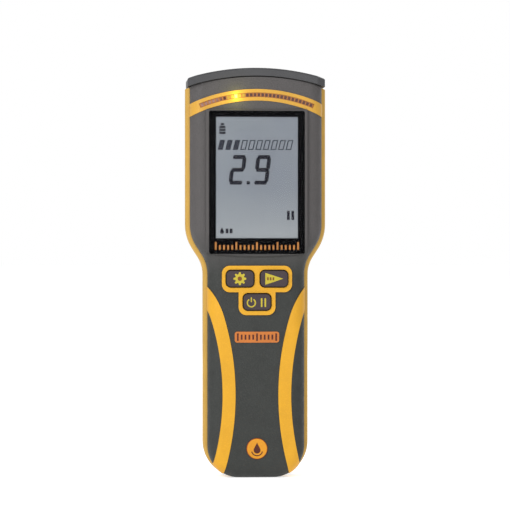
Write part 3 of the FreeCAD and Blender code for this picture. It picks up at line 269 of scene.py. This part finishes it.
def glowing(name, colour, strength):
    """Glowing window, the lit light or painted light beside it: its glow uneven over its face."""
    material, tree, shader, place = start_material(name)
    glow = blend(tree, noise(tree, place, 900.0), colour, scaled(colour, 0.9))
    tree.links.new(glow, shader.inputs["Base Color"])
    tree.links.new(glow, shader.inputs["Emission Color"])
    shader.inputs["Emission Strength"].default_value = strength
    tree.links.new(spread(tree, noise(tree, place, 800.0), 0.2, 0.35), shader.inputs["Roughness"])
    return material


SLOTS = {
    # Painted light: the case is painted lighter from 100 mm up, fully so above 122 mm, standing in for
    # the light on the head.
    "case_grey": lambda n: moulded(n, tint(43, 45, 43), 0.6, depth=1.2e-4, wear=0.3, pebble=1300.0,
                                   second=tint(74, 71, 71), levels=(100, 122), speck=0.6),
    "back_grey": lambda n: moulded(n, tint(50, 50, 49), 0.6, depth=1.2e-4, wear=0.3, pebble=1300.0,
                                   speck=0.5),
    "rubber_yellow": lambda n: moulded(n, tint(198, 145, 27), 0.5, 1800.0, 2e-5, 0.05, wear=0.1),
    # plate_orange: its turned-away edges carry painted shade in dark brown.
    "plate_orange": lambda n: moulded(n, tint(176, 100, 34), 0.35, 1500.0, 1e-5, 0.1, coat=0.1,
                                      painted_shade_rim=tint(96, 34, 10)),
    "cap_grey": lambda n: moulded(n, tint(62, 62, 64), 0.4, 2600.0, 1.5e-5, 0.06, wear=0.35),
    "seal_black": lambda n: moulded(n, tint(32, 30, 30), 0.7),
    "lens_clear": clear,
    "mask_black": lambda n: moulded(n, tint(2, 2, 3), 0.4, 900.0, 2e-7, 0.2, specular=0.02),
    "lcd_grey": display_glass,
    "acrylic_white": lambda n: moulded(n, tint(214, 216, 212), 0.25),
    "holder_white": lambda n: moulded(n, tint(196, 196, 192), 0.5),
    "zebra_rubber": lambda n: moulded(n, tint(96, 96, 104), 0.6),
    "scale_brown": lambda n: moulded(n, tint(150, 96, 48), 0.35, 1500.0, 8e-6, 0.15),
    "guide_smoke": smoked_guide,
    "led_amber": lambda n: moulded(n, tint(226, 178, 70), 0.2),
    # key_grey: its turned-away edges carry painted shade, dark like the gaps around the keys.
    "key_grey": lambda n: moulded(n, tint(54, 44, 48), 0.55, 2600.0, 2e-5, 0.1, painted_shade_rim=tint(22, 12, 8)),
    "mat_grey": lambda n: moulded(n, tint(44, 36, 34), 0.7),
    "switch_metal": lambda n: metal(n, tint(190, 190, 186), 0.35),
    "pcb_green": lambda n: moulded(n, tint(24, 92, 52), 0.3, 900.0, 1e-5, 0.15, coat=0.3),
    "chip_black": lambda n: moulded(n, tint(30, 30, 32), 0.45),
    "steel": lambda n: metal(n, tint(176, 178, 180), 0.3),
    "spring_steel": lambda n: metal(n, tint(200, 200, 196), 0.24),
    "brass": lambda n: metal(n, tint(206, 172, 98), 0.28),
    "copper_plate": lambda n: metal(n, tint(206, 132, 96), 0.28),
    "sounder_black": lambda n: moulded(n, tint(26, 26, 28), 0.4),
    "dome_black": lambda n: moulded(n, tint(24, 24, 25), 0.3, 1800.0, 8e-6, 0.12, coat=0.25),
    "cell_jacket": lambda n: moulded(n, tint(44, 50, 66), 0.3, 900.0, 4e-6, 0.1, coat=0.3,
                                     second=tint(176, 122, 58), levels=(66, 66.4)),
}


def paint_nodes():
    """Give each CAD node the material of its slot in the record."""
    made = {name: maker(name + "_look") for name, maker in SLOTS.items()}
    for part in frame["record"]["subparts"]:
        for slot in frame["nodes"][part["node"]].material_slots:
            slot.link = "OBJECT"
            slot.material = made[part["material_slot"]]


PAINTED = {
    "perimeter_band": tint(176, 138, 60),
    "arch_trim": tint(188, 142, 52),
    "badge": tint(196, 130, 20),
}


def repaint_trim():
    """Own shades for the band, the arch and the badge, whose slots they share with other parts."""
    for node, colour in PAINTED.items():
        # The badge's turned-away edges get painted shade in red-brown.
        paint = moulded(node + "_paint", colour, 0.45, 1800.0, 2e-5, 0.07, wear=0.15,
                        painted_shade_rim=tint(140, 60, 10) if node == "badge" else None)
        for slot in frame["nodes"][node].material_slots:
            slot.material = paint


# ---------------------------------------------------------------- thin pieces


def prism(name, outlines, front, thick, material, body="case"):
    """Closed solid of each outline, a list of (x, z) in mm, thick mm deep from its front.

    front is a depth in mm, or a function of x where the solid follows the crowned face.
    Lit windows, which aren't printed, take the finish of the lights."""
    mesh = bmesh.new()
    depth = front if callable(front) else (lambda x: front)
    for outline in outlines:
        middle = sum(x for x, z in outline) / len(outline)
        near = [mesh.verts.new((x * MM, depth(middle) * MM, z * MM)) for x, z in outline]
        far = [mesh.verts.new((x * MM, (depth(middle) + thick) * MM, z * MM)) for x, z in outline]
        mesh.faces.new(near)
        mesh.faces.new(far[::-1])
        for index in range(len(outline)):
            after = (index + 1) % len(outline)
            mesh.faces.new((near[index], far[index], far[after], near[after]))
    bmesh.ops.recalc_face_normals(mesh, faces=mesh.faces)
    data = bpy.data.meshes.new(name)
    mesh.to_mesh(data)
    mesh.free()
    piece = bpy.data.objects.new(name, data)
    bpy.context.scene.collection.objects.link(piece)
    data.materials.append(material)
    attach(piece, body)
    return piece


def bar(x, z, wide, tall, slant=0.0):
    """Upright bar about (x, z), its top pushed sideways by slant per mm of height."""
    lean = slant * tall / 2
    half, rise = wide / 2, tall / 2
    return [(x - half - lean, z - rise), (x + half - lean, z - rise),
            (x + half + lean, z + rise), (x - half + lean, z + rise)]


def round_bar(x, z, wide, tall, bend, steps=5):
    """Bar about (x, z) with corners rounded to the radius bend."""
    points = []
    for corner, (side, rise) in enumerate(((1, 1), (-1, 1), (-1, -1), (1, -1))):
        for step in range(steps + 1):
            turn = math.radians(90 * (corner + step / steps))
            points.append((x + side * (wide / 2 - bend) + bend * math.cos(turn),
                           z + rise * (tall / 2 - bend) + bend * math.sin(turn)))
    return points


def ring(x, z, inner, outer, start, end, steps=28):
    """Part of a ring about (x, z) between two turns, in degrees from +X."""
    turns = [math.radians(start + (end - start) * step / steps) for step in range(steps + 1)]
    outside = [(x + outer * math.cos(t), z + outer * math.sin(t)) for t in turns]
    inside = [(x + inner * math.cos(t), z + inner * math.sin(t)) for t in reversed(turns)]
    return outside + inside


def disc(x, z, radius, steps=32):
    """Round outline about (x, z)."""
    turns = [math.tau * step / steps for step in range(steps)]
    return [(x + radius * math.cos(t), z + radius * math.sin(t)) for t in turns]


def droplet(x, z, radius, tip):
    """Drop with its point up: a round foot and two straight flanks that touch it."""
    lean = math.asin(radius / tip)
    turns = [math.pi - lean + (math.pi + 2 * lean) * step / 24 for step in range(25)]
    return [(x, z + tip)] + [(x + radius * math.cos(t), z + radius * math.sin(t)) for t in turns]


# -------------------------------------------------------------------- display

SEGMENTS = {"2": "abged", "9": "abcdfg"}


def digit(figure, x, z):
    """Seven-segment figure, (x, z) its lower left corner, with blunt mitred ends and small gaps."""
    gap = 0.16
    half = FIGURE_THICK / 2
    nip = 0.5 * half
    wide, tall = FIGURE_WIDE, FIGURE_TALL
    middle = tall / 2

    def flat(level):
        left, right = 0.35 * half + gap, wide - 0.35 * half - gap
        return [(left, level), (left + nip, level - half), (right - nip, level - half),
                (right, level), (right - nip, level + half), (left + nip, level + half)]

    def upright(place, foot, top):
        low, high = foot + gap, top - gap
        return [(place, low), (place + half, low + nip), (place + half, high - nip),
                (place, high), (place - half, high - nip), (place - half, low + nip)]

    shapes = {
        "a": flat(tall - half), "g": flat(middle), "d": flat(half),
        "b": upright(wide - half, middle, tall - half), "c": upright(wide - half, half, middle),
        "f": upright(half, middle, tall - half), "e": upright(half, half, middle),
    }
    return [[(x + px + FIGURE_SLANT * pz, z + pz) for px, pz in shapes[key]] for key in SEGMENTS[figure]]


def make_display(ink, pale_ink):
    """Reading, battery gauge, bar row and hold sign on the liquid-crystal glass."""
    front = low_high("lcd_panel")[0][1] - THIN_INK
    thick = 0.06

    reading = digit("2", -14.2, FIGURE_FOOT) + digit("9", -2.0, FIGURE_FOOT)
    reading.append(round_bar(-4.3, FIGURE_FOOT + 0.9, 1.7, 1.7, 0.5))
    prism("display_reading", reading, front, thick, ink)

    gauge = [round_bar(-17.1, WINDOW_TOP - 8.0 + 1.45 * row, 3.1, 1.1, 0.25) for row in range(3)]
    gauge.append(round_bar(-17.1, WINDOW_TOP - 3.65, 1.7, 1.1, 0.25))
    prism("display_battery_gauge", gauge, front, thick, ink)

    cells = []
    for index in range(10):
        x = -17.6 + 3.75 * index
        if index < 3:
            cells.append(bar(x, BAR_ROW, 2.5, BAR_TALL, BAR_SLANT))
        else:
            cells += [bar(x - 1.1, BAR_ROW, 0.5, BAR_TALL, BAR_SLANT),
                      bar(x + 1.1, BAR_ROW, 0.5, BAR_TALL, BAR_SLANT),
                      bar(x + 0.55, BAR_ROW + 2.2, 1.7, 0.45), bar(x - 0.55, BAR_ROW - 2.2, 1.7, 0.45)]
    prism("display_bar_row", cells, front, thick, pale_ink)

    hold = [bar(x, 130.0, 1.35, 4.5) for x in (15.6, 17.8)]
    prism("display_hold_sign", hold, front, thick, ink)

    state = [droplet(-17.3, WINDOW_FOOT + 3.2, 1.0, 2.2)]
    state += [round_bar(-14.8 + 2.0 * index, WINDOW_FOOT + 3.6, 1.4, 2.3, 0.2) for index in range(2)]
    prism("display_state_sign", state, front, thick, ink)


def graduations(count, pitch, x, tall, taller):
    """Place and height of each mark of a row that starts at x, every fifth one taller."""
    return [(x + pitch * index, tall if index % 5 else taller) for index in range(count)]


def make_bezel_scale(gold):
    """Row of generic gold graduations on the dark border below the display."""
    foot = 113.0
    marks = [bar(x, foot + tall / 2, 0.85, tall) for x, tall in graduations(21, 2.04, -20.4, 2.3, 3.8)]
    prism("bezel_graduations", marks, low_high("display_mask")[0][1] - INK, INK, gold)


# -------------------------------------------------------------------- legends

def make_key_legends(legend, spot):
    """Gear, pointer, power and hold signs printed on the keys."""
    top = low_high("key_settings")[0][1]
    thick, dot_thick = 0.2, 0.1
    x, z = -8.6, 98.7
    points, teeth = 96, 8
    gear = []
    for step in range(points):
        turn = math.tau * step / points
        reach = 2.75 + 0.45 * math.tanh(3.0 * math.cos(teeth * turn))
        gear.append((x + reach * math.cos(turn), z + reach * math.sin(turn)))
    prism("settings_legend", [gear], top - LEGEND_INK, thick, legend, "settings_key")
    prism("settings_legend_hub", [disc(x, z, 1.1)], top - INK, dot_thick, spot, "settings_key")
    pointer = [(4.0, 95.7), (12.9, 98.7), (4.0, 101.6)]
    prism("reference_legend", [pointer], top - LEGEND_INK, thick, legend, "reference_key")
    dots = [round_bar(5.3 + 1.35 * index, 98.65, 0.8, 1.5, 0.2) for index in range(3)]
    prism("reference_legend_dots", dots, top - INK, dot_thick, spot, "reference_key")
    signs = [ring(-2.9, 86.8, 1.65, 2.3, 122, 418), round_bar(-2.9, 88.3, 0.65, 2.4, 0.25)]
    signs += [round_bar(place, 86.9, 0.8, 4.4, 0.25) for place in (2.2, 4.0)]
    prism("power_legend", signs, top - LEGEND_INK, thick, legend, "power_key")


def make_front_marks(dark):
    """Graduations on the nameplate, and the drop with its ripple on the badge."""
    low, high = low_high("nameplate")
    middle = (low[2] + high[2]) / 2

    def plate_face(x):
        return low[1] + x * x / (2 * CROWN) - INK

    marks = [bar(x, middle, 0.85, tall) for x, tall in graduations(11, 1.9, -9.5, 2.5, 3.7)]
    prism("nameplate_graduations", marks, plate_face, 0.2, dark)

    badge_low, badge_high = low_high("badge")
    x = (badge_low[0] + badge_high[0]) / 2
    z = (badge_low[2] + badge_high[2]) / 2 - 0.7
    front, thick = badge_low[1] - INK, 0.3
    prism("badge_drop", [droplet(x, z, 1.7, 3.7)], front, thick, dark)
    prism("badge_ripple", [ring(x, z, 2.5, 3.0, 195, 345)], front, thick, dark)


# ---------------------------------------------------------------- light scale

def make_lit_windows():
    """The lit light of the scale, and painted light in the unlit windows beside it: a weaker glow
    standing in for the spill of the lit one.
    """
    half_turn, half_tall, proud = 0.5, 0.85, 0.04
    # The neighbouring windows are no lamps: their glow is painted light spilling from the lit one.
    for steps, strength in ((0, 12.0), (-1, 1.0), (1, 1.0), (-2, 0.12), (2, 0.12)):
        index = LIT_LIGHT + steps
        turn = (index - MIDDLE_LIGHT) * WINDOW_TURN
        corners = []
        for side, rise in ((-1, -1), (1, -1), (1, 1), (-1, 1)):
            at = math.radians(turn + side * half_turn)
            reach = ARCH_RADIUS + rise * half_tall
            corners.append((reach * math.sin(at), ARCH_LEVEL + reach * math.cos(at)))
        middle = ARCH_RADIUS * math.sin(math.radians(turn))
        front = FACE + middle * middle / (2 * CROWN) - proud
        colour = tint(240, 250, 40) if steps == 0 else tint(150, 118, 24)
        prism(f"scale_window_{index:02d}", [corners], front, 0.3,
              glowing(f"glow_{index:02d}", colour, strength))


# --------------------------------------------------------------------- studio

def floor_material():
    """Pale matt floor with a faint mottle."""
    material, tree, shader, place = start_material("floor_pale")
    base = blend(tree, noise(tree, place, 3.0), (0.93, 0.93, 0.93, 1), (0.95, 0.95, 0.95, 1))
    tree.links.new(base, shader.inputs["Base Color"])
    shader.inputs["Roughness"].default_value = 0.9
    shader.inputs["Specular IOR Level"].default_value = 0.1
    shader.inputs["Emission Color"].default_value = (1, 1, 1, 1)
    shader.inputs["Emission Strength"].default_value = 0.5
    return material


def make_floor():
    """Round floor, its radius in metres large enough to reach the horizon."""
    mesh = bmesh.new()
    bmesh.ops.create_circle(mesh, cap_ends=True, radius=25.0, segments=96)
    data = bpy.data.meshes.new("studio_floor")
    mesh.to_mesh(data)
    mesh.free()
    floor = bpy.data.objects.new("studio_floor", data)
    bpy.context.scene.collection.objects.link(floor)
    data.materials.append(floor_material())


def add_area(name, place, size, power):
    """Soft square light aimed at the middle of the meter."""
    data = bpy.data.lights.new(name, "AREA")
    data.shape = "SQUARE"
    data.size = size
    data.energy = power
    light = bpy.data.objects.new(name, data)
    light.location = place
    light.rotation_mode = "QUATERNION"
    light.rotation_quaternion = (Vector((0, 0, 0.11)) - light.location).to_track_quat("-Z", "Y")
    bpy.context.scene.collection.objects.link(light)


def make_world():
    """White surround, brighter to the camera than it is as a light."""
    world = bpy.data.worlds.new("studio")
    world.use_nodes = True
    tree = world.node_tree
    sky = tree.nodes["Background"]
    sky.inputs["Color"].default_value = (1, 1, 1, 1)
    path = tree.nodes.new("ShaderNodeLightPath")
    tree.links.new(spread(tree, path.outputs["Is Camera Ray"], 0.55, 1.0, 0.0, 1.0),
                   sky.inputs["Strength"])
    bpy.context.scene.world = world


def make_scale_glow():
    """Small light in front of the lit window, which throws its glow on the arch."""
    glow = bpy.data.lights.new("scale_glow", "POINT")
    glow.energy = 0.0016
    glow.color = (1.0, 0.95, 0.1)
    glow.shadow_soft_size = 0.001
    lamp = bpy.data.objects.new("scale_glow", glow)
    turn = math.radians((LIT_LIGHT - MIDDLE_LIGHT) * WINDOW_TURN)
    ahead = 3.5
    lamp.location = Vector((ARCH_RADIUS * math.sin(turn), FACE - ahead,
                            ARCH_LEVEL + ARCH_RADIUS * math.cos(turn))) * MM
    bpy.context.scene.collection.objects.link(lamp)


def make_camera():
    """Camera square on to the face, a little from the left."""
    data = bpy.data.cameras.new("camera")
    data.sensor_width = SENSOR
    data.lens = SENSOR * (CAMERA_DISTANCE - FACE_AHEAD) / VIEW_WIDE
    camera = bpy.data.objects.new("camera", data)
    back = Vector((math.sin(CAMERA_AZIMUTH), -math.cos(CAMERA_AZIMUTH), 0.0))
    camera.location = AIM + back * CAMERA_DISTANCE
    camera.rotation_mode = "QUATERNION"
    camera.rotation_quaternion = (-back).to_track_quat("-Z", "Y")
    bpy.context.scene.collection.objects.link(camera)
    bpy.context.scene.camera = camera


def make_studio():
    """Floor, white surround, key light from the upper left with two fills, and the camera."""
    bpy.context.scene.view_settings.view_transform = "Standard"
    make_floor()
    make_world()
    add_area("key", Vector((-1.0, -1.2, 0.9)), 0.9, 20.0)
    add_area("back_fill", Vector((0.7, 1.2, 0.8)), 1.0, 8.0)
    add_area("front_fill", Vector((0.5, -1.6, 0.5)), 1.2, 5.0)
    make_scale_glow()
    make_camera()


paint_nodes()
repaint_trim()
INK_DARK = moulded("display_ink", tint(8, 7, 24), 0.7, 900.0, 5e-7, 0.1)
INK_PALE = moulded("display_ink_pale", tint(34, 38, 50), 0.7, 900.0, 5e-7, 0.1)
GOLD = moulded("print_gold", tint(170, 110, 46), 0.35, 900.0, 4e-6, 0.15)
LEGEND = moulded("print_yellow", tint(168, 152, 42), 0.5, 1200.0, 8e-6, 0.1)
SPOT = moulded("print_orange", tint(104, 62, 22), 0.5, 1200.0, 8e-6, 0.1)
MAROON = moulded("print_maroon", tint(70, 22, 8), 0.45, 1200.0, 8e-6, 0.15)
make_display(INK_DARK, INK_PALE)
make_bezel_scale(GOLD)
make_key_legends(LEGEND, SPOT)
make_front_marks(MAROON)
make_lit_windows()
make_studio()
